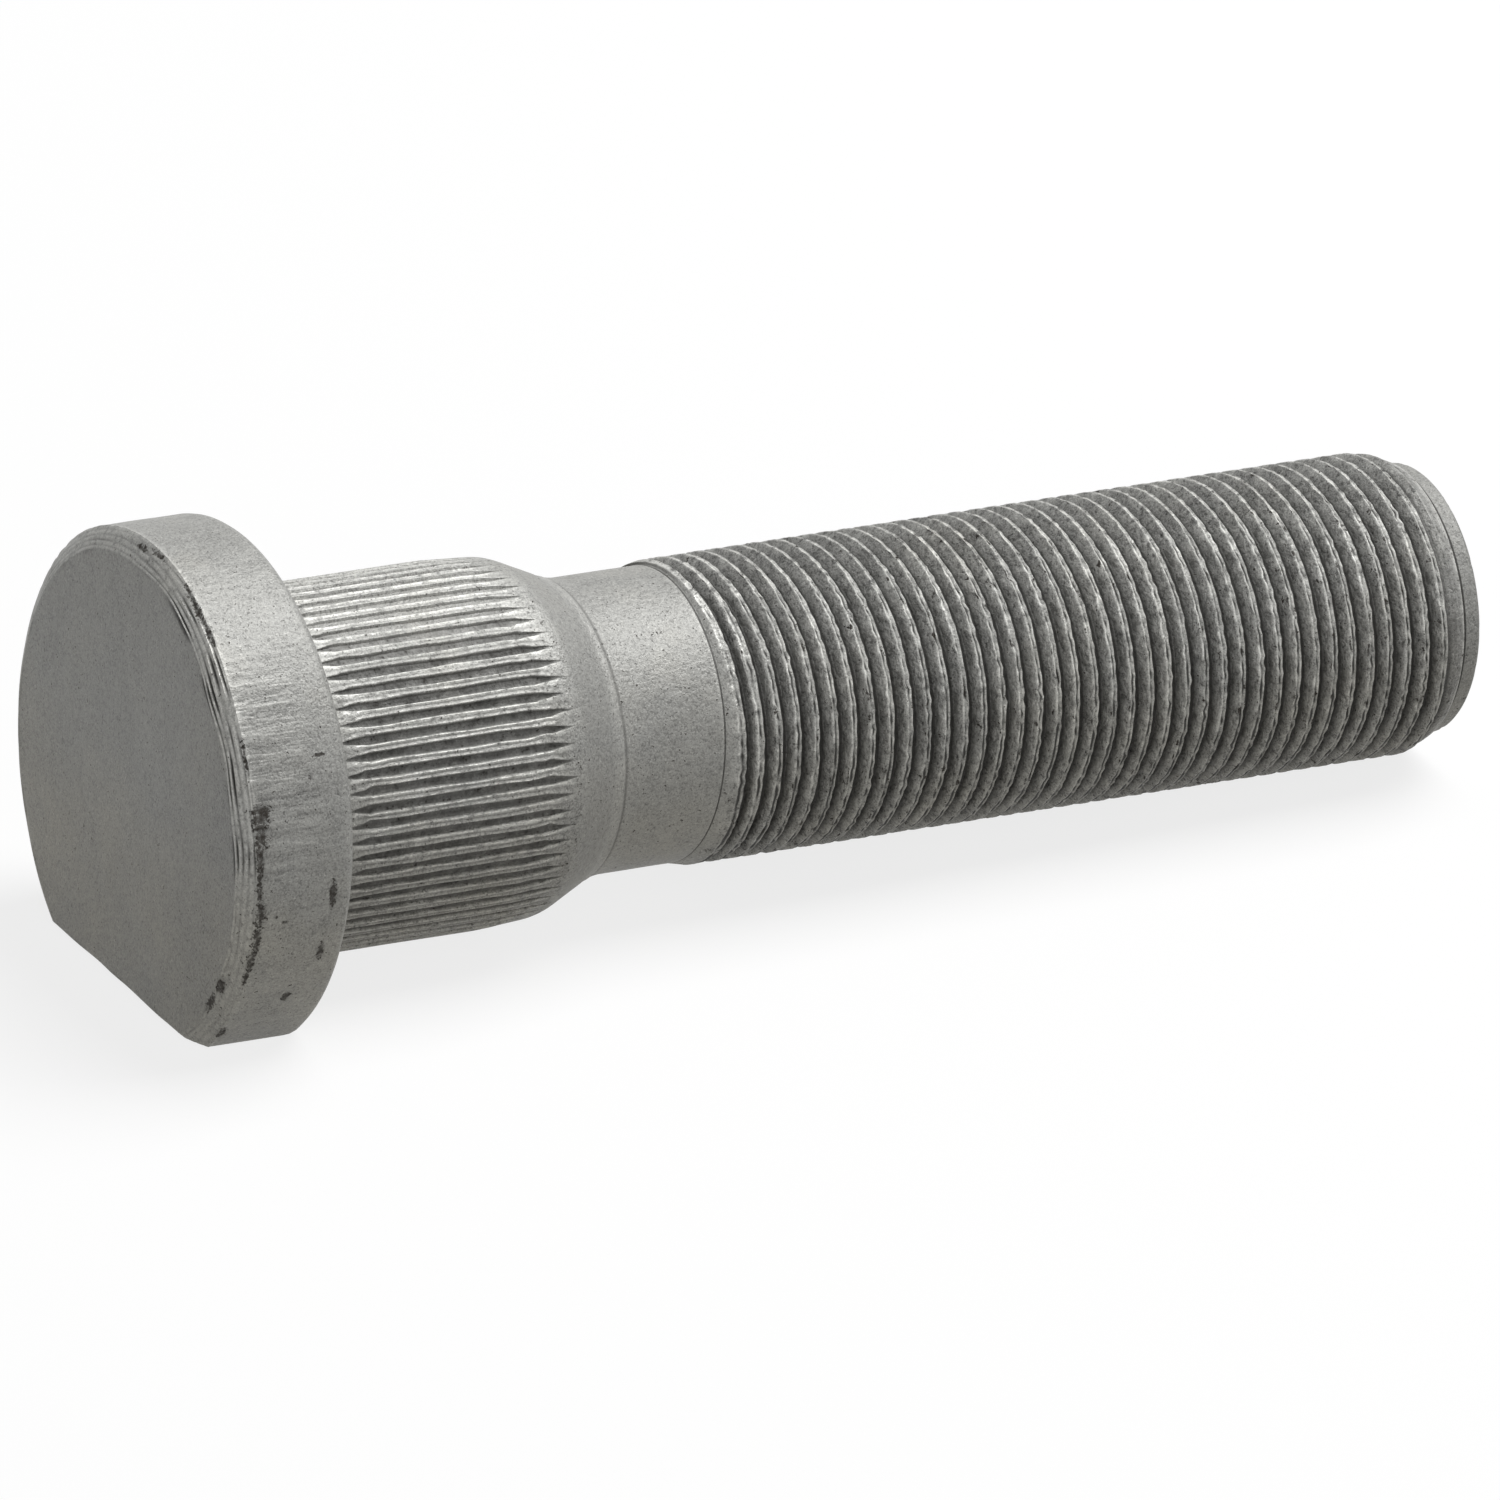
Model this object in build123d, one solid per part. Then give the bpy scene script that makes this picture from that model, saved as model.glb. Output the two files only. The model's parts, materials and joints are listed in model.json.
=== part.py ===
"""Press-in wheel stud for a heavy vehicle's hub, lying at rest on the flat of its head.

One bar of steel: a round head with one clipped flat, a serrated collar that is pressed into the hub flange,
a cone down to a plain shank, an M22 x 1.5 thread shown by its crest cylinder, and a short pilot at the tip.
The stud is modelled about the X axis, with the seat under its head at X = 0 and the tip towards +X. It is then
leaned until the head's flat and the end of the thread both touch the ground.
"""
import os
from math import atan2, degrees

from build123d import *

# Driving dimensions, in millimetres

# Head
head_diameter = 37.8
head_thickness = 8.3
head_bevel_width = 1.6  # of the bevel round the face, across the head
head_bevel_depth = 1.0  # of the same bevel, along the head
head_bevel_crown = 0.08  # the bevel bulges this much beyond a straight one
head_rim_width = 0.9  # of the round edge at the seat
head_rim_crown = 0.22  # the round edge bulges this much beyond a straight one
head_flat_offset = 14.2  # from the axis to the clipped flat
flat_face_break = 0.15  # slanted break of the flat's edge at the face
flat_seat_break = 1.0  # the same at the seat, where it meets the round edge

# Serrated collar
seat_relief = 0.5  # slanted corner between the seat under the head and the collar
collar_crest_diameter = 26.35
collar_crest_length = 17.3  # from the seat to where the crests start to fade
collar_lead_length = 4.1  # over which the crests fade
serration_count = 68
serration_depth = 0.25
serration_mouth_width = 0.7
serration_root_width = 0.16
serration_start = 2.2  # from the seat to the points of the grooves
serration_point_length = 1.8
serration_fade_margin = 0.06  # the lead ends this much below the roots
cutter_overrun = 0.5  # a cutting tool stands this much clear of what it cuts

# Cone and shank
cone_length = 4.9
cone_shoulder_radius = 4.0
cone_foot_radius = 6.0
shank_diameter = 21.15
shank_length = 7.2

# Thread, M22 x 1.5
thread_run_in_length = 1.2
thread_diameter = 21.85  # crest diameter, within the thread's tolerance
thread_length = 57.6

# Point and pilot
point_length = 2.25
point_end_diameter = 19.9
pilot_diameter = 19.45
pilot_length = 1.15
pilot_edge_chamfer = 0.25

# Radii and stations along the axis
head_r = head_diameter / 2
crest_r = collar_crest_diameter / 2
root_r = crest_r - serration_depth
lead_end_r = root_r - serration_fade_margin
shank_r = shank_diameter / 2
thread_r = thread_diameter / 2
point_end_r = point_end_diameter / 2
pilot_r = pilot_diameter / 2

head_face_x = -head_thickness
seat_x = 0
lead_x = seat_x + collar_crest_length
cone_x = lead_x + collar_lead_length
shank_x = cone_x + cone_length
run_in_x = shank_x + shank_length
thread_x = run_in_x + thread_run_in_length
point_x = thread_x + thread_length
pilot_x = point_x + point_length
tip_x = pilot_x + pilot_length


def turned_blank():
    """The stud's half section turned about X, with its round edges, before the flat and the serrations."""
    face_edge = (head_face_x, head_r - head_bevel_width)
    side_front = (head_face_x + head_bevel_depth, head_r)
    side_back = (seat_x - head_rim_width, head_r)
    seat_edge = (seat_x, head_r - head_rim_width)
    cone_shoulder = (cone_x, lead_end_r)
    cone_foot = (shank_x, shank_r)
    face_bevel = SagittaArc(face_edge, side_front, head_bevel_crown)
    side = Line(side_front, side_back)
    round_rim = SagittaArc(side_back, seat_edge, head_rim_crown)
    outline = Polyline(
        seat_edge,
        (seat_x, crest_r + seat_relief),
        (seat_x + seat_relief, crest_r),
        (lead_x, crest_r),
        cone_shoulder,
        cone_foot,
        (run_in_x, shank_r),
        (thread_x, thread_r),
        (point_x, thread_r),
        (pilot_x, point_end_r),
        (pilot_x, pilot_r),
        (tip_x - pilot_edge_chamfer, pilot_r),
        (tip_x, pilot_r - pilot_edge_chamfer),
        (tip_x, 0),
        (head_face_x, 0),
        face_edge,
    )
    rounds = [
        (cone_shoulder, cone_shoulder_radius),
        (cone_foot, cone_foot_radius),
    ]
    section = make_face(face_bevel + side + round_rim + outline)
    for corner, radius in rounds:
        section = fillet(section.vertices().sort_by_distance(corner)[0], radius)
    return revolve(section, Axis.X)


def flat_cutter():
    """What is clipped off the head: all below the flat, with a slanted break at the flat's two long edges."""
    below = -head_r - cutter_overrun
    flat_z = -head_flat_offset
    outline = Polyline(
        (head_face_x, below),
        (head_face_x, flat_z + flat_face_break),
        (head_face_x + flat_face_break, flat_z),
        (seat_x - flat_seat_break, flat_z),
        (seat_x, flat_z + flat_seat_break),
        (seat_x, below),
        close=True,
    )
    side = Plane.XZ * make_face(outline)
    return extrude(side, amount=head_diameter, both=True)


def serration_cutters():
    """One cutter for each groove: it widens outwards from a narrow root, and starts in a point behind the seat."""
    root_half = serration_root_width / 2
    mouth_half = serration_mouth_width / 2
    flank_angle = degrees(atan2(mouth_half - root_half, serration_depth))
    straight_x = serration_start + serration_point_length
    root_point_length = serration_point_length * root_half / mouth_half
    root_outline = Polyline(
        (straight_x - root_point_length, 0),
        (straight_x, root_half),
        (cone_x, root_half),
        (cone_x, -root_half),
        (straight_x, -root_half),
        close=True,
    )
    root = Pos(Z=root_r) * make_face(root_outline)
    cutter = extrude(root, amount=serration_depth + cutter_overrun, taper=-flank_angle)
    step = 360 / serration_count
    return [Rot(X=turn * step) * cutter for turn in range(serration_count)]


def at_rest(stud):
    """Lean the stud on its flat and the thread's end, then centre its footprint over the origin."""
    lean = degrees(atan2(head_flat_offset - thread_r, point_x - seat_x + flat_seat_break))
    leaned = Rot(Y=lean) * stud
    box = leaned.bounding_box()
    return Pos(-box.center().X, -box.center().Y, -box.min.Z) * leaned


stud = turned_blank() - flat_cutter()
stud = stud - serration_cutters()
wheel_stud = at_rest(stud)

os.makedirs("parts", exist_ok=True)
export_step(wheel_stud, "parts/wheel_stud.step")
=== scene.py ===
"""Press-in wheel stud lying on the flat of its head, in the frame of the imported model.

Lengths are millimetres in the stud's own axes unless a name says otherwise. The axis runs along X, from the
seat under the head at 0 towards the tip. Angles run round the axis: 0 is the middle of the head's flat, at
the bottom, a quarter turn is the far side, half a turn is the top and three quarters is the near side.
"""

import json

import bpy
import numpy as np
from mathutils import Matrix, Vector


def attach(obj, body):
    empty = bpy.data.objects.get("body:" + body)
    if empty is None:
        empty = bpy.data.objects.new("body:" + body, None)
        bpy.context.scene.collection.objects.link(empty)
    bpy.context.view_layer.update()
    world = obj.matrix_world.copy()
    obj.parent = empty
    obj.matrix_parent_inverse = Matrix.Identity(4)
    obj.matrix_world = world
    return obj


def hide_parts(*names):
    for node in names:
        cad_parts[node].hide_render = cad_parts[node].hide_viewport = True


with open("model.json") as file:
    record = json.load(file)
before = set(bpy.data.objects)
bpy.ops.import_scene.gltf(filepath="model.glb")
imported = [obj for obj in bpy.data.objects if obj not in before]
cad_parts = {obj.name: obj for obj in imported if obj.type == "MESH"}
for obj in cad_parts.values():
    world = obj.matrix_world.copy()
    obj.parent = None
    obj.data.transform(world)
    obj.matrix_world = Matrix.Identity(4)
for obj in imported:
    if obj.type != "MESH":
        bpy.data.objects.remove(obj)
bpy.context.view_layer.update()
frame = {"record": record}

# Forged head
# The head is upset from the bar in a die: a thick disc with a bevelled face and a rounded rim at the seat.
# One side is clipped flat, which stops the stud from turning in the hub. The bevel keeps fine ridges along
# the face, and knocks have chipped its outer edge.
full_turn = 2 * np.pi
head_columns = 272
flat_columns = 31  # between the middle of the flat and its corner
first_column = 2  # the rings start this many columns past the middle of the flat
head_radius = 18.9
flat_distance = 14.2
face_break = 0.15  # of the flat's edge at the face
seat_break = 1.0  # of the flat's edge at the seat
face_station = -8.11
face_lean = (0.20, 0.515)  # the face stands out by these at its rim, at the top and at the near side
face_wave = 0.015
swell = 0.47  # the bevel stands out further by this at one place
swell_place = 237.0  # degrees
swell_half = 52.0  # degrees
bevel_width = 1.6
bevel_depth = 1.0
bevel_crown = 0.08
bevel_drift = 0.07  # the bevel's inner edge wanders by about this
bevel_rows = [  # share of the bevel from the face outwards, height of the ridge, lip, hollow
    (0, -0.07, 0, 1),
    (0.04, 0.03, 0.6, 0.2),
    (0.09, 0.08, 1, 0),
    (0.15, -0.06, 0.1, 0.9),
    (0.21, 0.05, 0.8, 0.1),
    (0.27, 0.08, 0.9, 0),
    (0.35, -0.07, 0, 1),
    (0.43, 0.04, 0.8, 0.1),
    (0.51, 0.07, 0.9, 0),
    (0.59, -0.05, 0.1, 0.7),
    (0.68, 0.04, 0.8, 0.1),
    (0.77, 0.06, 0.9, 0),
    (0.85, -0.05, 0.1, 0.6),
    (0.92, 0.03, 0.9, 0.1),
    (0.97, 0, 0.7, 0.1),
    (1, 0, 0.5, 0.3),
]
bevel_share, ridge_height, ridge_lip, ridge_hollow = np.array(bevel_rows).T
ridged_place = 232.0  # degrees, where the ridges are strongest
ridged_half = 36.0  # degrees
chip_depth = 0.07
nibble_depth = 0.05  # of the small bites along the bevel's outer edge
nibble_half = 0.15
side_sag = 0.02
edge_lip = 0.6
edge_lip_half = 0.2
rim_radius = 0.9
serration_count = 68
collar_radius = 13.175
seat_relief = 0.5
least_cosine = 0.001  # keeps the flat's line finite on the rest of the head
flat_margin = 0.001  # a point counts as on the flat when this much inside the round
edge_chips = [  # angle and half length in degrees, distance behind the bevel's outer edge, half width
    (177.5, 2.6, -0.40, 0.13),
    (183.0, 3.0, -0.16, 0.13),
    (197.5, 1.6, -0.06, 0.14),
    (203.5, 4.0, -0.14, 0.16),
    (211.0, 3.6, -0.10, 0.12),
    (240.0, 3.4, -0.04, 0.08),
    (252.6, 2.8, 0.42, 0.62),
    (256.5, 3.6, 0.34, 0.42),
    (261.5, 4.4, 0.16, 0.24),
    (268.0, 3.6, 0.08, 0.16),
    (274.5, 3.2, 0.22, 0.34),
    (280.5, 3.4, 0.16, 0.26),
    (286.5, 3.2, 0.04, 0.20),
    (291.0, 2.2, -0.04, 0.14),
    (297.5, 2.4, -0.85, 0.15),
    (305.0, 3.4, -0.96, 0.12),
    (311.0, 2.4, 0.08, 0.22),
]
chip_reach = 1.6  # a chip fades out at this many times its half sizes


class Skin:
    """Points and faces of the stud, laid in rings from the middle of the head's face to the tip."""

    def __init__(self):
        self.points = []
        self.wear = []
        self.faces = []
        self.count = 0

    def lay(self, station, angle, radius, hollow=0.0, lip=0.0, chip=0.0):
        """Add points at a station along the axis, an angle round it and a radius; return their numbers.

        Each point also keeps how much painted shade and grime it takes in a groove, how much it is on a lip
        that is rubbed bright and painted with highlight, and how chipped it is.
        """
        values = np.broadcast_arrays(station, angle, radius, hollow, lip, chip)
        station, angle, radius, *wear = values
        across = radius * np.sin(angle)
        height = -radius * np.cos(angle)
        self.points.append(np.stack([station, across, height], axis=-1).reshape(-1, 3))
        self.wear.append(np.stack(wear, axis=-1).reshape(-1, 3))
        numbers = self.count + np.arange(station.size).reshape(station.shape)
        self.count += station.size
        return numbers

    def cover(self, *corners):
        """Add a face for each set of corner numbers, which go round the face as it is seen from outside."""
        corners = np.broadcast_arrays(*corners)
        self.faces += np.stack(corners, axis=-1).reshape(-1, len(corners)).tolist()

    def wrap(self, rings):
        """Cover the bands between whole rings of equal columns, each row of numbers one ring."""
        beside = np.roll(rings, -1, axis=1)
        self.cover(rings[:-1], beside[:-1], beside[1:], rings[1:])

    def refine(self, ring, finer, towards_tip):
        """Cover the band between a ring and one with some whole number of times its columns.

        Each column's half of the fine edges fans out from it, and one face joins two columns to the middle.
        """
        share = finer.size // ring.size
        half = share // 2
        fine = np.append(finer, finer[0])
        start = np.arange(ring.size) * share
        beside = np.roll(ring, -1)
        fans = [(ring, fine[start + i + 1], fine[start + i]) for i in range(half)]
        fans += [(beside, fine[start + i + 1], fine[start + i]) for i in range(half, share)]
        fans.append((ring, beside, fine[start + half]))
        for fan in fans:
            self.cover(*(fan if towards_tip else fan[::-1]))


def unevenness(angle, station, seed, turns, length):
    """Seeded relief of unit spread: sine waves added up.

    Each wave goes round the axis up to the given number of times, slanted by about a wave in the given
    length.
    """
    wave_count = 30
    draw = np.random.default_rng(seed)
    around = draw.integers(-turns, turns + 1, wave_count)
    along = draw.normal(0, full_turn / length, wave_count)
    phase = draw.uniform(0, full_turn, wave_count)
    waves = sum(np.sin(n * angle + k * station + p) for n, k, p in zip(around, along, phase))
    return waves / np.sqrt(wave_count / 2)


def bumps(angle, station, seed, turns, length, floor=0.0, most=2.0):
    """The part of the unevenness above a floor, no higher than a most."""
    return np.clip(unevenness(angle, station, seed, turns, length) - floor, 0, most)


def degrees_off(angle, place):
    """Degrees between an angle and a place that is given in degrees, the shorter way round."""
    return np.degrees(np.abs((angle - np.radians(place) + np.pi) % full_turn - np.pi))


def clipped_round(radius, flat, angle):
    """A circle clipped by a straight line below: the smaller of its radius and flat / cos(angle)."""
    return np.minimum(radius, flat / np.maximum(np.cos(angle), least_cosine))


def even_angles():
    """Evenly spaced angles of the head's columns, from minus half a turn to half a turn."""
    even = (np.arange(head_columns) + first_column) * full_turn / head_columns
    return np.where(even > np.pi, even - full_turn, even)


def head_angles(radius, flat):
    """Angles of the head's columns, even on each side of the flat's corners, where a column always runs."""
    step = full_turn / head_columns
    even = even_angles()
    corner = np.arccos(np.minimum(1, flat / radius))
    even_corner = flat_columns * step
    beyond = (np.abs(even) - even_corner) / (np.pi - even_corner)
    outside = np.sign(even) * (corner + beyond * (np.pi - corner))
    return np.where(np.abs(even) < even_corner + step / 2, even * corner / even_corner, outside)


def head_tilt(station, angle, radius):
    """How far a point of the head stands towards the tip: the face's lean less its swell, none at the rim."""
    share = np.clip((station + rim_radius) / (face_station + rim_radius), 0, 1)
    outwards = radius / head_radius
    at_top, at_near_side = face_lean
    lean = at_top * np.cos(angle) + at_near_side * np.sin(angle)
    off = np.minimum(degrees_off(angle, swell_place) / swell_half, 1)
    return share * (outwards * lean - outwards**2 * swell * np.cos(off * np.pi / 2)**2)


def chip_share(angle, behind):
    """How chipped a place is: 1 well inside a chip's ellipse, falling to 0 at the chips' reach."""
    share = np.zeros(np.broadcast(angle, behind).shape)
    for place, half_length, distance, half_width in edge_chips:
        off = np.hypot(degrees_off(angle, place) / half_length, (behind - distance) / half_width)
        share = np.maximum(share, np.clip(chip_reach - off, 0, 1))
    return share


skin = Skin()
face_radius = head_radius - bevel_width
face_flat = flat_distance - face_break

face_share = np.array([0.10, 0.28, 0.46, 0.62, 0.76, 0.87, 0.94, 0.975])[:, None]
angle = head_angles(face_radius, face_flat)[None, :]
radius = face_share * clipped_round(face_radius, face_flat, angle)
waves = face_wave * bumps(angle, radius, 3, 5, 14)
face_rings = skin.lay(face_station + waves + head_tilt(face_station, angle, radius), angle, radius)

bulge = bevel_crown * 4 * bevel_share * (1 - bevel_share)
bevel_slope = np.hypot(bevel_width, bevel_depth)
bevel_station = face_station + bevel_depth * bevel_share - bulge * bevel_width / bevel_slope
bevel_radius = head_radius - bevel_width * (1 - bevel_share) + bulge * bevel_depth / bevel_slope
edge_station = face_station + bevel_depth
side_rows = np.array([0.10, 0.22, 0.36, 0.55, 0.8, 1.1, 1.6, 2.3, 3.2, 4.2, 5.2, 5.75])
side_station = edge_station + side_rows
rim_turn = np.radians([0, 22, 45, 68, 90])
rim_station = rim_radius * (np.sin(rim_turn) - 1)
rim_profile = head_radius - rim_radius * (1 - np.cos(rim_turn))
station = np.concatenate([bevel_station, side_station, rim_station])[:, None]
side_radius = np.full(side_station.size, head_radius)
round_radius = np.concatenate([bevel_radius, side_radius, rim_profile])[:, None]
broken_at_face = np.maximum(face_break - (station - face_station), 0)
broken_at_seat = np.maximum(seat_break + station, 0)
flat = flat_distance - broken_at_face - broken_at_seat
angle = head_angles(round_radius, flat)
on_round = 1.0 - (flat / np.maximum(np.cos(angle), least_cosine) < round_radius - flat_margin)


def down_the_head(bevel_values):
    """Values of the bevel's rows as a column for all rows of the head's edge, 0 behind the bevel."""
    column = np.zeros_like(station)
    column[:bevel_share.size, 0] = bevel_values
    return column


ridged = 0.25 + 0.75 * np.exp(-(degrees_off(angle, ridged_place) / ridged_half)**4)
broken = np.clip(0.7 + 0.6 * unevenness(angle, station, 5, 26, 0.7), 0, 1.5)
ridges = down_the_head(ridge_height) * ridged * broken
drift = bevel_drift * down_the_head(1 - bevel_share**2) * unevenness(angle, station, 7, 16, 1.5)
behind = station - edge_station
chip = chip_share(angle, behind) * on_round
at_edge = np.exp(-(behind / nibble_half)**2)
nibble = bumps(angle, station, 11, 100, 2, floor=0.4, most=1.5) * at_edge * on_round
sag = side_sag * bumps(angle, station, 9, 9, 9) * on_round * (behind > 0)
ridge_shift = (drift * bevel_depth - ridges * bevel_width) / bevel_slope
station_shift = ridge_shift + head_tilt(station, angle, round_radius)
raised = (drift * bevel_width + ridges * bevel_depth) / bevel_slope
worn_away = sag + chip_depth * chip + nibble_depth * nibble
radius = clipped_round(round_radius + raised - worn_away, flat, angle)
# Painted shade in the troughs between the bevel's ridges
hollow = down_the_head(ridge_hollow) * ridged * broken
# The ridges' lips and the bevel's outer edge are painted lighter: rubbed bright, and painted highlight
bevel_lip = down_the_head(ridge_lip) * (0.5 + 0.5 * ridged)
lip = np.maximum(bevel_lip, edge_lip * np.exp(-(behind / edge_lip_half)**2))
edge_rings = skin.lay(station + station_shift, angle, radius, hollow=hollow, lip=lip, chip=chip)

seat_share = np.array([0.3, 0.65, 1.0])[:, None]
rim_angle = angle[-1:]
angle = rim_angle + (even_angles()[None, :] - rim_angle) * seat_share
radius = radius[-1:] + (collar_radius + seat_relief - radius[-1:]) * seat_share
seat_rings = skin.lay(0.0, angle, radius)

head_rings = np.concatenate([face_rings, edge_rings, seat_rings])
skin.wrap(head_rings)
face_middle = skin.lay(np.array([face_station]), 0.0, 0.0)
skin.cover(face_middle, np.roll(head_rings[0], -1), head_rings[0])

# Serrated collar
# The collar is rolled with rows of sharp teeth that bite into the hub's bore when the stud is pressed in. The
# rolls leave grooves with pointed ends, and each tooth carries two raised lips with a fine seam between.
tooth_angle = full_turn / serration_count
groove_depth = 0.25
groove_start = 2.0
start_point = 2.4  # length of the grooves' points at the seat
start_scatter = 0.22
groove_end = 20.9
end_point = 2.4  # length of their points at the cone
end_scatter = 0.20
tooth_scatter = 0.022  # some teeth stand lower by up to this
tooth_dents = 0.012
tooth_sway = 0.032  # the lips wander by about this share of a tooth
crest_end = 17.3
lead_end = 21.4
lead_end_radius = 12.865
cone_foot = 26.3
shank_radius = 10.575
shoulder_round = 4.0
foot_round = 6.0
torn_station = 20.8  # where the grooves' ends are torn
torn_half = 0.4
# A tooth's columns: share of the tooth from its crest, sink of the seam and of the lips' edges, lip, hollow,
# share of the groove's depth, and how far the column draws in to the groove's middle at the points
tooth_profile = [
    (0, 0.07, 0.2, 0.4, 0, 0),
    (0.165, 0, 0.5, 0.1, 0, 0.6),
    (0.22, 0.03, 0.2, 0.25, 0, 1),
    (0.30, 0, 0, 0.62, 1, 1),
    (0.50, 0, 0, 0.75, 1, 1),
    (0.70, 0, 0, 0.55, 1, 1),
    (0.78, 0.03, 0.7, 0.1, 0, 1),
    (0.835, 0, 1, 0, 0, 0.6),
]
tooth_columns, column_sink, column_lip, column_hollow, column_depth, column_draw = np.array(tooth_profile).T


def eased_corner(station, straight, corner, before, after, ease):
    """Round a corner of a straight profile with an arc that touches the lines before and after it.

    The corner is a station and a radius, the lines are given by their slopes, and ease is the arc's radius.
    """
    turn_before = np.arctan(before)
    turn_after = np.arctan(after)
    side = np.sign(after - before)
    reach = ease * np.tan(np.abs(turn_after - turn_before) / 2)
    arc_start = corner[0] - reach * np.cos(turn_before)
    arc_end = corner[0] + reach * np.cos(turn_after)
    centre_station = arc_start - side * ease * np.sin(turn_before)
    centre_radius = corner[1] - reach * np.sin(turn_before) + side * ease * np.cos(turn_before)
    arc = centre_radius - side * np.sqrt(np.maximum(ease**2 - (station - centre_station)**2, 0))
    return np.where((station > arc_start) & (station < arc_end), arc, straight)


def bar_radius(station):
    """Radius of the bar over collar, cone and shank, without grooves: lines with two eased corners."""
    shoulder = (lead_end, lead_end_radius)
    foot = (cone_foot, shank_radius)
    lead_slope = (lead_end_radius - collar_radius) / (lead_end - crest_end)
    cone_slope = (shank_radius - lead_end_radius) / (cone_foot - lead_end)
    corner_stations = [crest_end, lead_end, cone_foot]
    straight = np.interp(station, corner_stations, [collar_radius, lead_end_radius, shank_radius])
    eased = eased_corner(station, straight, shoulder, lead_slope, cone_slope, shoulder_round)
    return eased_corner(station, eased, foot, cone_slope, 0, foot_round)


def per_tooth(values):
    """Values of a tooth's columns, repeated round the collar as one row."""
    return np.tile(values, serration_count)[None, :]


def each_tooth(values):
    """One value for each tooth, given to all of its columns as one row."""
    return np.repeat(values, tooth_columns.size)[None, :]


tooth_share = (np.arange(serration_count)[:, None] + tooth_columns).ravel()[None, :]
station = np.concatenate([
    [seat_relief, 0.8, 1.3, 1.8],
    np.linspace(2.1, 4.5, 9),
    np.linspace(6.2, 17.0, 6),
    np.linspace(18.2, 21.3, 11),
])[:, None]
tooth_draw = np.random.default_rng(21)
start_shift = each_tooth(tooth_draw.normal(0, start_scatter, serration_count))
end_shift = each_tooth(tooth_draw.normal(0, end_scatter, serration_count))
tooth_sink = each_tooth(tooth_draw.uniform(0, tooth_scatter, serration_count))
opening = np.clip((station - groove_start - start_shift) / start_point, 0, 1)
closing = np.clip((groove_end + end_shift - station) / end_point, 0, 1)
grooved = np.minimum(opening, closing)
narrowed = per_tooth(column_draw * (0.5 - tooth_columns)) * (1 - np.maximum(grooved, 0.1))
angle = tooth_angle * (tooth_share + narrowed + 0.5)
groove = groove_depth * per_tooth(column_depth) * np.minimum(grooved * 1.3, 1)
lips_sink = (per_tooth(column_sink) + tooth_sink) * np.minimum(grooved * 1.6, 1)
dents = tooth_dents * bumps(angle, station, 23, 60, 4)
radius = bar_radius(station) - np.maximum(groove, lips_sink) - dents
sway = tooth_sway * unevenness(angle, station, 25, 90, 1.6) * grooved
from_bottom = 180 - degrees_off(angle, 180)
shaded_and_grimy = np.interp(from_bottom, [70, 98, 145, 168], [0.9, 0.9, 1, 0.15])  # painted groove shade and grime, least at the top, which is painted lighter
hollow = per_tooth(column_hollow) * np.minimum(grooved * 2, 1) * shaded_and_grimy
# Tooth lips are painted lighter: rubbed bright, and painted highlight
lip = per_tooth(column_lip) * np.minimum(grooved * 1.5, 1)
torn_place = np.exp(-((station - torn_station) / torn_half)**2)
torn = 0.5 * torn_place * bumps(angle, station, 27, 90, 1.5, floor=0.3, most=1)
collar_rings = skin.lay(station, angle + sway * tooth_angle, radius, hollow=hollow, lip=lip, chip=torn)
skin.wrap(collar_rings)
skin.refine(head_rings[-1], collar_rings[0], towards_tip=True)

# Cone and shank
# Behind the teeth the bar is turned down over a cone to a plain shank, which is as thick as the blank that
# the thread is rolled on. The cone ends in a narrow raised band with a fine groove behind it, and a second
# fine groove parts the shank from the thread.
shank_columns = 136
shank_sag = 0.012
foot_band = [  # station, lift above the bar, hollow, lip
    (24.70, -0.02, 0, 0),
    (24.87, -0.045, 0, 0),
    (25.05, -0.03, 0, 0.15),
    (25.30, 0.01, 0, 0.15),
    (25.50, 0.035, 0, 0.2),
    (25.60, 0.01, 0.2, 0),
    (25.72, -0.055, 0.45, 0),
    (25.84, -0.06, 0.45, 0),
    (25.95, -0.02, 0.1, 0),
    (26.10, 0, 0, 0),
]
thread_groove = [  # the same before the thread
    (33.14, 0, 0, 0),
    (33.34, 0, 0, 0.3),
    (33.41, -0.045, 0.7, 0),
    (33.48, -0.045, 0.7, 0),
    (33.54, 0.01, 0, 0.3),
]
painted_cone_shade = 0.24  # painted shade on the cone
groove_slant = 0.65  # the groove before the thread stands this much nearer to the tip at the top
slant_start = 32.6
slant_length = 0.7  # over which the rows take up the slant


def plain(stations, painted_shade=0):
    """Rows of the bar itself at some stations, with some painted shade."""
    return [(station, 0, painted_shade, 0) for station in stations]


rows = plain(np.linspace(21.75, 24.4, 6), painted_cone_shade) + foot_band + plain(np.linspace(26.6, 28.0, 3))
rows += plain(np.linspace(28.9, slant_start, 5)) + thread_groove
station, lift, hollow, lip = np.array(rows).T[:, :, None]
angle = (tooth_angle / 2 + np.arange(shank_columns) * full_turn / shank_columns)[None, :]
radius = bar_radius(station) + lift - shank_sag * bumps(angle, station, 31, 8, 8)
slant = groove_slant * np.sin(angle / 2)**2
slanted = station + slant * np.clip((station - slant_start) / slant_length, 0, 1)
# The fine grooves take painted shade through their groove weight
shank_rings = skin.lay(slanted, angle, radius, hollow=hollow, lip=lip)
skin.wrap(shank_rings)
skin.refine(shank_rings[0], collar_rings[-1], towards_tip=False)

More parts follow.
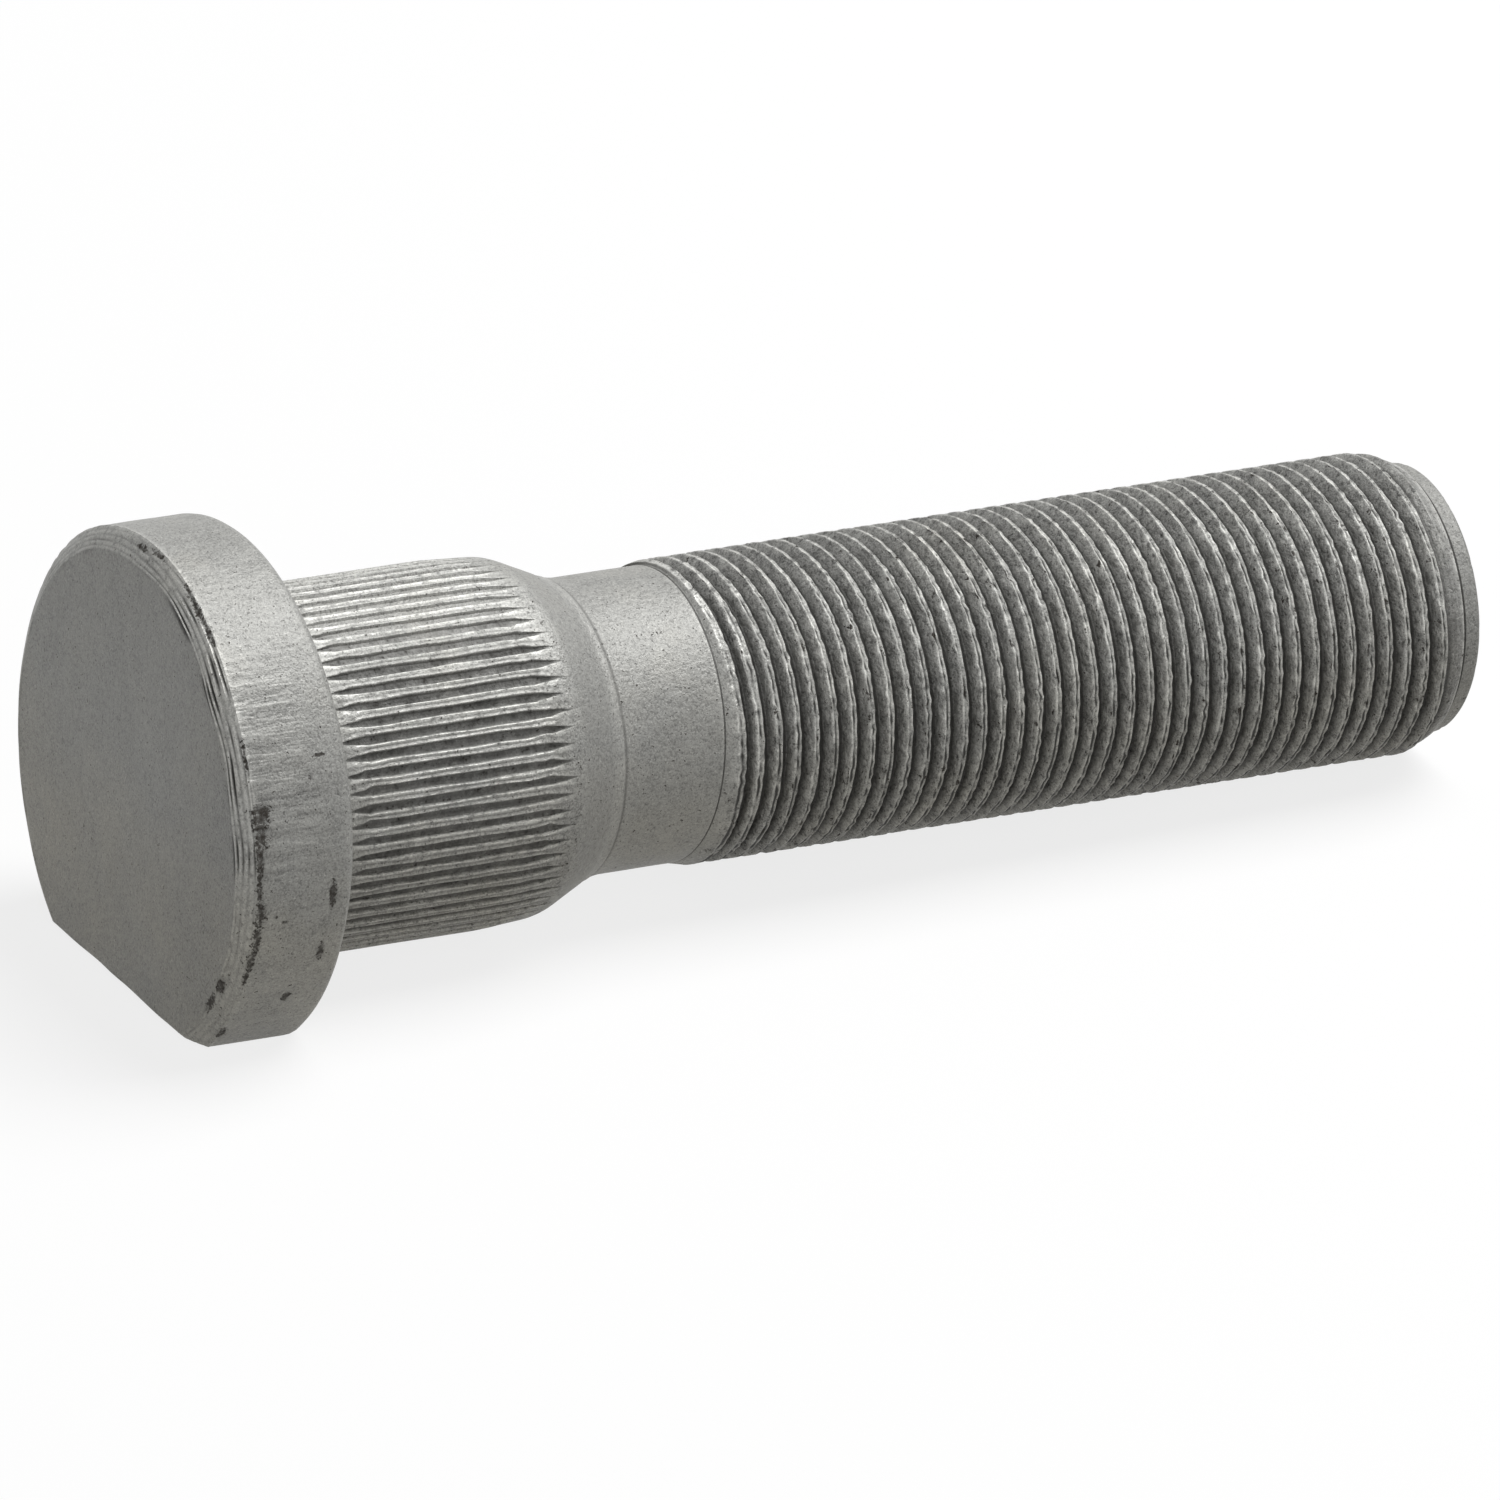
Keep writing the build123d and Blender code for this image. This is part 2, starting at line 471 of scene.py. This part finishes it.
# Rolled thread
# The M22 x 1.5 right-hand thread is rolled, so the metal pushed out of the grooves makes the crests: two lips
# with a fine seam between them. It starts on a short run-in and fades out over the point. The lips are worn
# and nicked.
pitch = 1.5
crest_origin = 0.81  # station of a crest at angle 0
crest_radius = 10.925
thread_depth = 0.80
first_turn = 21
last_turn = 61
thread_start = 33.60
thread_start_lift = 0.03
run_in = (33.5, 34.7)  # where the crests rise
root_fall = (33.8, 35.1)  # where the roots sink
root_rise = (91.8, 93.2)  # where they come up again
root_rise_height = 0.4
point_start = 92.3
point_slope = -0.433
early_spread = 0.4  # the first crests are wider than the others by this share
early_length = 5.0
near_shift = 0.075  # in pitches, of the crests on the near side
near_place = 250.0  # degrees
near_half = 50.0  # degrees
top_squeeze = 0.35  # at the top the lips stand closer by this share
top_half = 24.0  # degrees
crest_wear = 0.02
nick_depth = 0.10
crest_sway = 0.035
crest_half = 0.2  # in pitches, of the crest with its lips
crest_sink = 0.11  # rows less deep than this are on the crest
seam_half = 0.1  # in pitches, of the seam between the lips
rows_left_out = 9  # at each end, so that the thread starts and ends on a crest
turn_profile = [  # share of the pitch from a crest's seam, sink, lip, hollow, how easily it is nicked
    (0, 0.06, 0.1, 1, 0.6),
    (0.055, 0.035, 0.4, 0.35, 0.4),
    (0.11, 0, 0.8, 0, 0.3),
    (0.15, 0.03, 0.5, 0.35, 0.3),
    (0.19, 0.10, 0.1, 1, 0),
    (0.39, 0.70, 0, 1, 0),
    (0.50, 0.80, 0, 1, 0),
    (0.61, 0.70, 0.1, 0.42, 0),
    (0.81, 0.10, 0.5, 0, 0.3),
    (0.85, 0.03, 0.5, 0, 0.8),
    (0.89, 0, 1, 0, 0.6),
    (0.945, 0.035, 0.5, 0.35, 0.4),
]
turn_rows, row_sink, row_lip, row_hollow, row_chip = np.array(turn_profile).T
rows_per_turn = turn_rows.size

row_turn = (np.arange(first_turn, last_turn + 1)[:, None] + turn_rows).ravel()
thread_stretch = slice(rows_left_out, row_turn.size - rows_left_out)
row_turn = row_turn[thread_stretch, None]
row_count = row_turn.size


def per_turn(values):
    """Values of a turn's rows, repeated along the thread as one column."""
    return np.tile(values, last_turn + 1 - first_turn)[thread_stretch, None]


column = np.arange(shank_columns)[None, :]
angle = column * full_turn / shank_columns
at_top = np.exp(-(degrees_off(angle, 180) / top_half)**4)
near = np.exp(-(degrees_off(angle, near_place) / near_half)**4)
station = crest_origin + pitch * (row_turn + column / shank_columns + near_shift * near)
rise = np.interp(station, run_in, [shank_radius, crest_radius])
crest = rise + point_slope * np.maximum(station - point_start, 0)
root = np.interp(station, root_fall, [shank_radius, crest_radius - thread_depth])
root = root + np.interp(station, root_rise, [0, root_rise_height])
depth = np.maximum(crest - root, 0)
full = np.clip(depth / thread_depth, 0, 1)
from_crest = per_turn(np.where(turn_rows > 0.5, turn_rows - 1, turn_rows))
early = early_spread * np.clip(1 - (station - run_in[1]) / early_length, 0, 1)
spread = (early - top_squeeze * at_top) * from_crest * (np.abs(from_crest) < crest_half)
nick = bumps(angle, station, 43, 64, 0.9, floor=1.3, most=1) * per_turn(row_chip)
on_crest = per_turn(row_sink < crest_sink)
crest_worn = crest_wear * bumps(angle, station, 41, 60, 3) + nick_depth * nick
sink = per_turn(row_sink) + on_crest * crest_worn
sway = crest_sway * on_crest * full * unevenness(angle, station, 47, 110, 1.5)
between_lips = per_turn((turn_rows < seam_half) | (turn_rows > 1 - seam_half))
seam = np.clip(0.6 + 0.7 * unevenness(angle, station, 49, 64, 0.8), 0, 1.2)  # broken into dashes
# At the top the seam takes no groove shade and is painted as one bright lip: painted highlight
bare_seam = 1 - between_lips * (1 - seam * (1 - at_top))
# Lips are brighter in patches: rubbed bright, and painted with highlight
rubbed = np.clip(0.85 + 0.35 * unevenness(angle, station, 57, 50, 1.2), 0.2, 1.3)
thread_rows = skin.lay(
    station + sway + pitch * spread,
    angle,
    crest - sink * full,
    hollow=per_turn(row_hollow) * full * bare_seam,
    lip=np.maximum(per_turn(row_lip) * rubbed, between_lips * at_top) * np.clip(full * 1.5, 0, 1),
    chip=np.clip(nick * 2.2, 0, 1) * full,
)
skin.cover(thread_rows[:-1, :-1], thread_rows[:-1, 1:], thread_rows[1:, 1:], thread_rows[1:, :-1])
onward = thread_rows[rows_per_turn:, 0]
last_column = thread_rows[: row_count - rows_per_turn, -1]
skin.cover(last_column[:-1], onward[:-1], onward[1:], last_column[1:])

angle = np.arange(shank_columns) * full_turn / shank_columns
start_station = thread_start + groove_slant * np.sin(angle / 2)**2
start_ring = skin.lay(start_station, angle, shank_radius + thread_start_lift)
skin.cover(start_ring[:-1], start_ring[1:], thread_rows[0, 1:], thread_rows[0, :-1])
climb = thread_rows[: rows_per_turn + 1, 0]
skin.cover(start_ring[-1:], start_ring[:1], climb[:1])
skin.cover(start_ring[-1:], climb[:-1], climb[1:])
skin.cover(start_ring[-1:], climb[-1:], thread_rows[0, -1:])
before_start = np.roll(shank_rings[-1], 2)
skin.wrap(np.stack([before_start, start_ring]))

# Point and pilot
# The end of the bar is turned to a short point, over which the thread runs out, and a plain pilot that guides
# the nut on. A fine step parts the two, and the pilot's edge is broken by a small chamfer.
pilot_radius = 9.725
step_station = 94.06
chamfer_station = 95.40
tip_station = 95.7
tip_dents = 0.07
tip_sag = 0.006
tip_profile = [  # station, radius, hollow, lip
    (step_station - 0.07, 10.16, 0, 0.7),
    (step_station, 10.09, 0.3, 0.5),
    (step_station + 0.04, 9.80, 1, 0),
    (step_station + 0.32, pilot_radius + 0.01, 1, 0),
    (step_station + 0.40, pilot_radius + 0.01, 0.1, 0),
    (step_station + 0.70, pilot_radius, 0, 0),
    (chamfer_station - 0.06, pilot_radius, 0, 0),
    (chamfer_station + 0.02, pilot_radius - 0.015, 0, 0),
    (chamfer_station + 0.16, 9.60, 0.4, 0),
    (chamfer_station + 0.26, 9.48, 0.4, 0),
    (tip_station, 9.30, 0, 0),
    (tip_station, 6.5, 0, 0),
    (tip_station, 3.0, 0, 0),
]
station, radius, hollow, lip = np.array(tip_profile).T[:, :, None]
angle = angle[None, :]
dent = bumps(angle, station, 51, 60, 1.5, floor=1.5, most=0.8) * (station < tip_station)
radius = radius - tip_dents * dent - tip_sag * bumps(angle, station, 53, 12, 3)
# The step before the pilot takes painted shade through its groove weight
tip_rings = skin.lay(station, angle, radius, hollow=hollow, lip=lip, chip=0.6 * dent)
skin.wrap(tip_rings)
skin.cover(thread_rows[-1, :-1], thread_rows[-1, 1:], tip_rings[0, 1:], tip_rings[0, :-1])
drop = thread_rows[row_count - 1 - rows_per_turn :, -1]
skin.cover(drop[:-1], tip_rings[0, :1], drop[1:])
skin.cover(drop[:1], thread_rows[-1, :1], tip_rings[0, :1])
skin.cover(drop[-1:], tip_rings[0, :1], tip_rings[0, -1:])
tip_middle = skin.lay(np.array([tip_station]), 0.0, 0.0)
skin.cover(tip_rings[-1], np.roll(tip_rings[-1], -1), tip_middle)

# The stud in one piece
# All the stretches are one bar of forged steel, under a satin grey metal coat that is rubbed bright on edges,
# lips and crests, which are also painted with highlight, with painted shade and grime in the grooves. It lies
# where the solid lies, leaned on its flat and the thread's end.
mm = 0.001  # in metres
sharp_edge = 32.0  # degrees
seat_mount = next(mount for mount in frame["record"]["mounts"] if mount["name"] == "head_seat")
seat_m = np.array(seat_mount["pos_m"]) * (1, 0, 1)
axis_x, _, axis_z = seat_mount["axis"]
lean = np.arctan2(-axis_z, axis_x)
turn = np.array([[np.cos(lean), 0, np.sin(lean)], [0, 1, 0], [-np.sin(lean), 0, np.cos(lean)]])
points_m = np.concatenate(skin.points) @ turn.T / 1000 + seat_m

stud_mesh = bpy.data.meshes.new("wheel_stud_coated")
stud_mesh.from_pydata(points_m, [], skin.faces)
for name, values in zip(("hollow", "lip", "chip"), np.concatenate(skin.wear).T):
    attribute = stud_mesh.attributes.new(name, "FLOAT", "POINT")
    attribute.data.foreach_set("value", np.ascontiguousarray(values, np.float32))
stud_mesh.shade_smooth()
stud_mesh.set_sharp_from_angle(angle=np.radians(sharp_edge))
stud = bpy.data.objects.new("wheel_stud_coated", stud_mesh)
bpy.context.collection.objects.link(stud)

coat_colour = (0.338, 0.337, 0.321, 1)
warm_coat_colour = (0.342, 0.329, 0.290, 1)  # low down and in stains
# dark of the painted groove shade and of grime
shade_and_grime_colour = (0.028, 0.027, 0.024, 1)
chip_colour = (0.040, 0.034, 0.028, 1)
side_marks = [  # angle and half length in degrees, distance behind the bevel's outer edge, half width
    (241.4, 0.5, 4.75, 0.60),
    (245.8, 0.8, 3.80, 0.18),
    (272.0, 4.2, 5.35, 0.34),
    (286.0, 2.8, 5.05, 0.38),
    (299.0, 2.0, 3.45, 0.40),
    (277.0, 0.5, 1.75, 0.35),
    (275.5, 0.6, 1.00, 0.16),
]


class Shade:
    """A socket of a material's nodes. Arithmetic on it adds Math nodes, and node() adds any other node."""

    def __init__(self, tree, socket=None):
        self.tree = tree
        self.socket = socket

    def node(self, kind, settings=None, sockets=None, out=0):
        """Add a node of a type, with its settings and its sockets' values or links; return one output."""
        added = self.tree.nodes.new(kind)
        for key, value in (settings or {}).items():
            setattr(added, key, value)
        for key, value in (sockets or {}).items():
            if isinstance(value, Shade):
                self.tree.links.new(value.socket, added.inputs[key])
            else:
                added.inputs[key].default_value = value
        return Shade(self.tree, added.outputs[out] if added.outputs else None)

    def beside(self, out):
        """Another output of the node that this socket belongs to."""
        return Shade(self.tree, self.socket.node.outputs[out])

    def math(self, operation, first, second=0.0):
        return self.node("ShaderNodeMath", {"operation": operation}, {0: first, 1: second})

    def __add__(self, other):
        return self.math("ADD", self, other)

    def __sub__(self, other):
        return self.math("SUBTRACT", self, other)

    def __rsub__(self, other):
        return self.math("SUBTRACT", other, self)

    def __mul__(self, other):
        return self.math("MULTIPLY", self, other)

    def __truediv__(self, other):
        return self.math("DIVIDE", self, other)

    def __pow__(self, other):
        return self.math("POWER", self, other)

    __radd__ = __add__
    __rmul__ = __mul__

    def between(self, low, high):
        """A smooth step from 0 at the low value to 1 at the high one."""
        sockets = {"Value": self, "From Min": low, "From Max": high}
        return self.node("ShaderNodeMapRange", {"interpolation_type": "SMOOTHSTEP"}, sockets)

    def noise(self, place, scale, detail=2.0, roughness=0.5):
        """Noise about 0.5, with this many features to the unit of the place it reads."""
        sockets = {"Vector": place, "Scale": scale, "Detail": detail, "Roughness": roughness}
        return self.node("ShaderNodeTexNoise", None, sockets, "Fac")

    def attribute(self, name):
        """A value that the mesh keeps for each point."""
        return self.node("ShaderNodeAttribute", {"attribute_name": name}, out="Fac")

    def blend(self, share, first, second):
        """Mix of two colours: the first at a share of 0, the second at 1."""
        sockets = {"Factor": share, 6: first, 7: second}
        return self.node("ShaderNodeMix", {"data_type": "RGBA"}, sockets, 2)


coat = bpy.data.materials.new("satin_grey_coat")
coat.use_nodes = True
coat.node_tree.nodes.clear()
shade = Shade(coat.node_tree)

# Places on the stud, in its own axes
object_place = shade.node("ShaderNodeTexCoord", out="Object")
place = shade.node("ShaderNodeMapping", {"vector_type": "TEXTURE"}, {
    "Vector": object_place,
    "Location": seat_m.tolist(),
    "Rotation": (0, lean, 0),
    "Scale": (mm, mm, mm),
})
along = shade.node("ShaderNodeSeparateXYZ", None, {0: place}, "X")
across = along.beside("Y")
height = along.beside("Z")
from_axis = (across * across + height * height) ** 0.5
round_degrees = shade.math("ARCTAN2", 0 - across, height) * (180 / np.pi) + 180
behind = along - edge_station
on_head = 1 - along.between(-0.6, -0.2)
on_face = on_head * (1 - from_axis.between(16.8, 17.3))
on_side = on_head * from_axis.between(18.4, 18.8)
on_collar = along.between(1.5, 2.5) * (1 - along.between(20.6, 21.4))
on_point = along.between(92.6, 93.2) * (1 - along.between(93.9, 94.1))
on_thread = along.between(34.2, 34.8) * (1 - along.between(93.9, 94.2))
on_pilot = along.between(94.2, 94.4)
on_rolled = on_thread + on_collar
low_down = 1 - height.between(-8.0, 6.0)
near_face_side = (0 - across).between(2, 17)
collar_top = height.between(8.5, 12.0)
thread_top = height.between(9.0, 10.9)

# Noises of the coat, from fine to coarse, and strokes that are drawn out along the axis
drawn = shade.node("ShaderNodeVectorMath", {"operation": "MULTIPLY"}, {0: place, 1: (0.10, 1, 1)})
grain = shade.noise(place, 6.5, 2.0, 0.6) - 0.5
peel = shade.noise(place, 2.6, 2.0, 0.55) - 0.5
mottle = shade.noise(place, 0.55, 3.0, 0.6) - 0.5
stains = shade.noise(place, 0.15, 3.0, 0.55) - 0.5
strokes = shade.noise(drawn, 1.7, 2.0, 0.6) - 0.5
specks = shade.noise(place, 4.2, 1.0).between(0.66, 0.74)
sparkle = shade.noise(place, 7.6, 1.0).between(0.60, 0.72)
breaks = shade.noise(place, 1.4, 3.0, 0.6)

# Wear and painted light: strokes on the head's side, chips and dark marks, lips rubbed bright and painted
# with highlight, painted shade and grime in the grooves
stroked_place = round_degrees.between(212, 228) * (1 - round_degrees.between(256, 272))
stroked = (0.25 + stroked_place * (1 - behind.between(3.2, 4.8))) * on_side
hollow = shade.attribute("hollow")
chip = shade.attribute("chip")
for mark_degrees, half_length, distance, half_width in side_marks:
    off_round = (round_degrees - mark_degrees) / half_length
    off_along = (behind - distance) / half_width
    spot = (1.2 - (off_round * off_round + off_along * off_along)) * on_side
    chip = shade.math("MAXIMUM", chip, spot)
ragged_chip = (chip + peel * 2.2 + grain * 2.4).between(0.35, 0.95)
# Lips rubbed bright and painted with highlight, broken into patches
rubbed_and_highlit_lip = shade.attribute("lip") * breaks.between(0.30, 0.56)
pitted = on_point * (0.25 + mottle * 1.2 + peel * 1.4) + on_collar * (mottle * 0.5 + peel * 0.9)
# Painted shade in the grooves, twice as strong on the thread's underside, with grime from pits and noises
shade_and_grime = (hollow * (1 + on_thread * low_down) + pitted + grain * 0.6 + mottle * 0.3).between(0.05, 1.0)

# Tone of the coat: noises and strokes, lips painted bright, then how much darker or lighter each stretch is,
# with painted shade on the thread's top and underside, on the collar's underside and on the face's near side,
# and painted light on the collar's top
# How bright the lips are painted: rubbed bright, with painted highlight, more on the thread and less low down
lip_wear_and_highlight = 0.85 + on_collar * 0.2 + on_thread * (0.5 - low_down * 0.3) - low_down * 0.4
tone = 0.96 + grain * (1.5 + on_rolled * 0.7) + peel * (0.8 + on_rolled * 0.6) + mottle * 0.4 + stains * 0.25
tone = tone + strokes * stroked * 1.3 + sparkle * 0.35 - specks * 0.30
tone = tone + rubbed_and_highlit_lip * lip_wear_and_highlight
# Painted shade: the thread darker low down and at its top, over a thread a little darker overall
tone = tone - on_thread * (0.06 + low_down * 0.22 + thread_top * 0.24)
# Painted light on the collar's top, painted shade on its underside
tone = tone + on_collar * (collar_top * 0.16 - low_down * 0.12)
# The pilot is darker, and painted shade darkens the face towards its near side
tone = tone - on_pilot * 0.10 - on_face * near_face_side * 0.16

base = shade.blend(low_down * 0.7 + stains, coat_colour, warm_coat_colour)
lit = shade.node("ShaderNodeVectorMath", {"operation": "SCALE"}, {0: base, "Scale": tone})
# Painted groove shade and grime darken the coat
shaded_and_grimy = shade.blend(shade_and_grime * 0.92, lit, shade_and_grime_colour)
coloured = shade.blend(ragged_chip * (0.82 + peel * 1.2), shaded_and_grimy, chip_colour)
gloss = 0.50 + grain * 0.3 + mottle * 0.12 + shade_and_grime * 0.15 + ragged_chip * 0.25
gloss = gloss - rubbed_and_highlit_lip * 0.08 + on_pilot * 0.10
metal = 0.32 - shade_and_grime * 0.20 - ragged_chip * 0.30
relief = grain * 0.034 + peel * (0.085 + on_rolled * 0.05) + mottle * 0.05
relief = relief + strokes * stroked * 0.11 - specks * 0.015 - ragged_chip * 0.04
bump = shade.node("ShaderNodeBump", None, {"Strength": 1.0, "Distance": mm, "Height": relief})
surface = shade.node("ShaderNodeBsdfPrincipled", None, {
    "Base Color": coloured,
    "Roughness": gloss,
    "Metallic": metal,
    "Normal": bump,
    "Specular IOR Level": 0.35,
})
shade.node("ShaderNodeOutputMaterial", None, {"Surface": surface})
stud_mesh.materials.append(coat)
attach(stud, "root")
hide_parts("wheel_stud")

# Floor
# A matt white studio floor, which shows plain white to the camera and in the metal, with the stud's soft
# shadow on it. Light that the floor scatters back is kept low, so that the stud's underside stays dark.
floor_size_m = 6.0
floor_white = (0.98, 0.98, 0.98, 1)
floor_dim = (0.22, 0.215, 0.20, 1)  # for scattered light
glow_share = 0.8  # of the floor's white that does not take shadow
pure_white = (1, 1, 1, 1)
floor_mesh = bpy.data.meshes.new("floor")
corners = np.array([(-1, -1, 0), (1, -1, 0), (1, 1, 0), (-1, 1, 0)]) * floor_size_m / 2
floor_mesh.from_pydata(corners, [], [(0, 1, 2, 3)])
floor = bpy.data.objects.new("floor", floor_mesh)
bpy.context.collection.objects.link(floor)
floor_paint = bpy.data.materials.new("floor_paint")
floor_paint.use_nodes = True
floor_paint.node_tree.nodes.clear()
shade = Shade(floor_paint.node_tree)


def seen_directly(shade):
    """1 for rays from the camera, from a gloss or through glass, and 0 for scattered light."""
    camera_ray = shade.node("ShaderNodeLightPath", out="Is Camera Ray")
    other_rays = camera_ray.beside("Is Glossy Ray") + camera_ray.beside("Is Transmission Ray")
    return (camera_ray + other_rays).between(0, 1)


matt = shade.node("ShaderNodeBsdfDiffuse", None, {"Color": floor_white}, "BSDF")
glow = shade.node("ShaderNodeEmission", None, {"Color": pure_white, "Strength": 1.0})
white = shade.node("ShaderNodeMixShader", None, {0: glow_share, 1: matt, 2: glow})
dim = shade.node("ShaderNodeBsdfDiffuse", None, {"Color": floor_dim}, "BSDF")
paint = shade.node("ShaderNodeMixShader", None, {0: seen_directly(shade), 1: dim, 2: white})
shade.node("ShaderNodeOutputMaterial", None, {"Surface": paint})
floor_mesh.materials.append(floor_paint)

# Light
# One large soft box stands high over the stud and towards its tip, a weak one is at the camera's side, and
# the room is pale.
ambient_strength = 0.15


def add_soft_box(name, direction, distance_m, size_m, watts):
    """Add a square lamp in a direction from the stud, facing it."""
    lamp = bpy.data.lights.new(name, "AREA")
    lamp.size = size_m
    lamp.energy = watts
    direction = Vector(direction).normalized()
    box = bpy.data.objects.new(name, lamp)
    box.location = direction * distance_m
    box.rotation_euler = direction.to_track_quat("Z", "Y").to_euler()
    bpy.context.collection.objects.link(box)


add_soft_box("high_box", (0.46, 0.0, 0.89), distance_m=1.6, size_m=1.15, watts=27.0)
add_soft_box("near_box", (-0.35, -0.85, 0.40), distance_m=2.0, size_m=1.5, watts=5.0)

room = bpy.data.worlds.new("pale_room")
room.use_nodes = True
room.node_tree.nodes.clear()
shade = Shade(room.node_tree)
pale = shade.node("ShaderNodeBackground", None, {"Color": pure_white, "Strength": 1.0})
ambient = shade.node("ShaderNodeBackground", None, {"Color": pure_white, "Strength": ambient_strength})
walls = shade.node("ShaderNodeMixShader", None, {0: seen_directly(shade), 1: ambient, 2: pale})
shade.node("ShaderNodeOutputWorld", None, {"Surface": walls})
bpy.context.scene.world = room

# Camera
# A long lens looks down on the stud from beside its head, as far off as the small spread of its lines tells.
camera_place_m = (-1.03656586, -1.82405531, 0.95762797)
camera_right = Vector((0.87746984, -0.4781472, 0.03770863))
camera_up = Vector((0.16723403, 0.378688, 0.91029016))
camera_ahead = Vector((0.4495325, 0.79244599, -0.41224978))
view = bpy.data.cameras.new("view")
view.sensor_width = 36.0
view.lens = 781.656
view.clip_end = 20.0
camera = bpy.data.objects.new("view", view)
stance = Matrix((camera_right, camera_up, -camera_ahead)).transposed().to_4x4()
camera.matrix_world = Matrix.Translation(camera_place_m) @ stance
bpy.context.collection.objects.link(camera)
bpy.context.scene.camera = camera

bpy.context.scene.view_settings.view_transform = "Standard"
